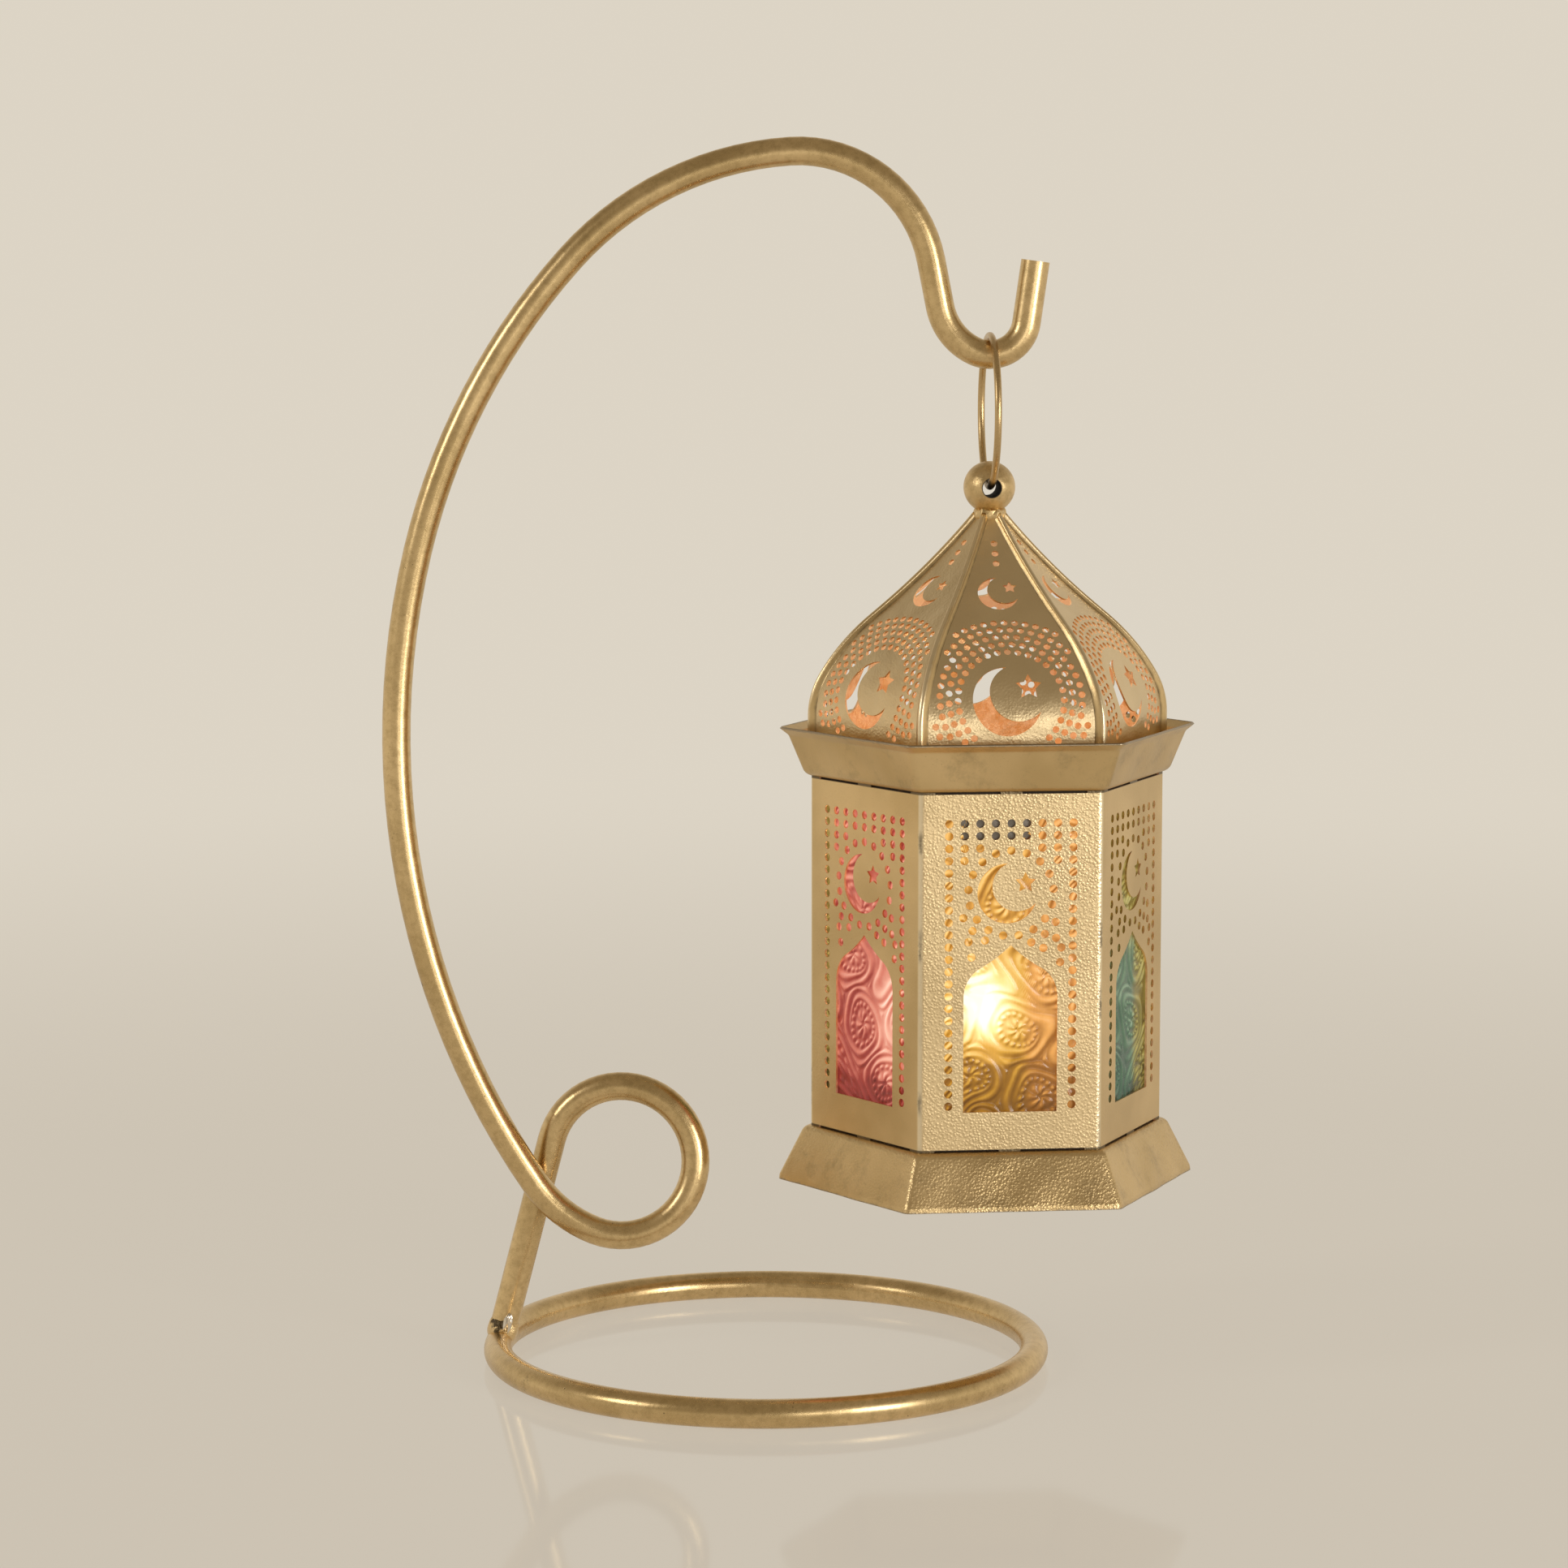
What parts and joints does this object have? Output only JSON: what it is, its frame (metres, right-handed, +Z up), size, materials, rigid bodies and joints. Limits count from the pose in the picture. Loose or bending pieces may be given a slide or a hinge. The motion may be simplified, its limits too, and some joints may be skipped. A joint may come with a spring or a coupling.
{
  "type": "candle lantern",
  "caption": "Pierced hexagonal candle lantern with an ogee dome and coloured panes, hung by a ring from the hook of a bent-rod stand.",
  "frame": {"origin": "centre of the stand's base ring, on the surface that it stands on", "axes": "+X from the stem towards the lantern, -Y towards the front, +Z up"},
  "size_m": [0.2298, 0.1612, 0.3466],
  "materials": {
    "stand_gold": "satin gold paint with fine blisters",
    "sheet_gold": "satin gold paint with an orange-peel texture",
    "ring_brass": "dull drawn wire",
    "pane_amber": "embossed, translucent",
    "pane_pink": "embossed, translucent",
    "pane_teal": "embossed, translucent",
    "hardware_steel": "plain",
    "cup_aluminium": "drawn foil",
    "wax": "waxy",
    "wick": "braided cotton, charred"
  },
  "bodies": {
    "stand": {"base_ring": "stand_gold", "hook_stem": "stand_gold", "stem_weld": "stand_gold"},
    "hanging_ring": {"hanging_ring": "ring_brass"},
    "lantern": {"finial_ball": "sheet_gold", "crown_washer": "hardware_steel", "crown_nut": "hardware_steel", "roof_petal_1": "sheet_gold", "roof_petal_2": "sheet_gold", "roof_petal_3": "sheet_gold", "roof_petal_4": "sheet_gold", "roof_petal_5": "sheet_gold", "roof_petal_6": "sheet_gold", "cornice_pan": "sheet_gold", "base_pan": "sheet_gold", "wall_panel_1": "sheet_gold", "wall_panel_2": "sheet_gold", "wall_panel_3": "sheet_gold", "wall_panel_4": "sheet_gold", "wall_panel_5": "sheet_gold", "pane_1": "pane_amber", "pane_2": "pane_teal", "pane_3": "pane_pink", "pane_4": "pane_teal", "pane_5": "pane_pink", "pane_clips": "hardware_steel", "frame_hinge": "sheet_gold", "hinge_pins": "hardware_steel", "candle_seat": "hardware_steel"},
    "door": {"door_panel": "sheet_gold", "door_pane": "pane_amber", "door_clips": "hardware_steel", "door_hinge": "sheet_gold", "door_knob": "sheet_gold"},
    "tealight": {"tealight_cup": "cup_aluminium", "tealight_wax": "wax", "wick_base": "hardware_steel", "wick": "wick"}
  },
  "joints": [
    {"name": "ring_swing", "type": "hinge", "parent": "stand", "child": "hanging_ring", "pos_m": [0.0626, 0, 0.2863], "axis": [1, 0, 0], "range_deg": [-25, 25]},
    {"name": "lantern_swing", "type": "hinge", "parent": "hanging_ring", "child": "lantern", "pos_m": [0.0626, 0, 0.2496], "axis": [0.0698, -0.9976, 0], "range_deg": [-4, 30]},
    {"name": "door_hinge", "type": "hinge", "parent": "lantern", "child": "door", "pos_m": [0.08377, 0.04778, 0.119], "axis": [0, 0, -1], "range_deg": [0, 110]},
    {"name": "tealight_lift", "type": "slide", "parent": "lantern", "child": "tealight", "axis": [0, 0, 1], "range_m": [0, 0.03]}
  ]
}
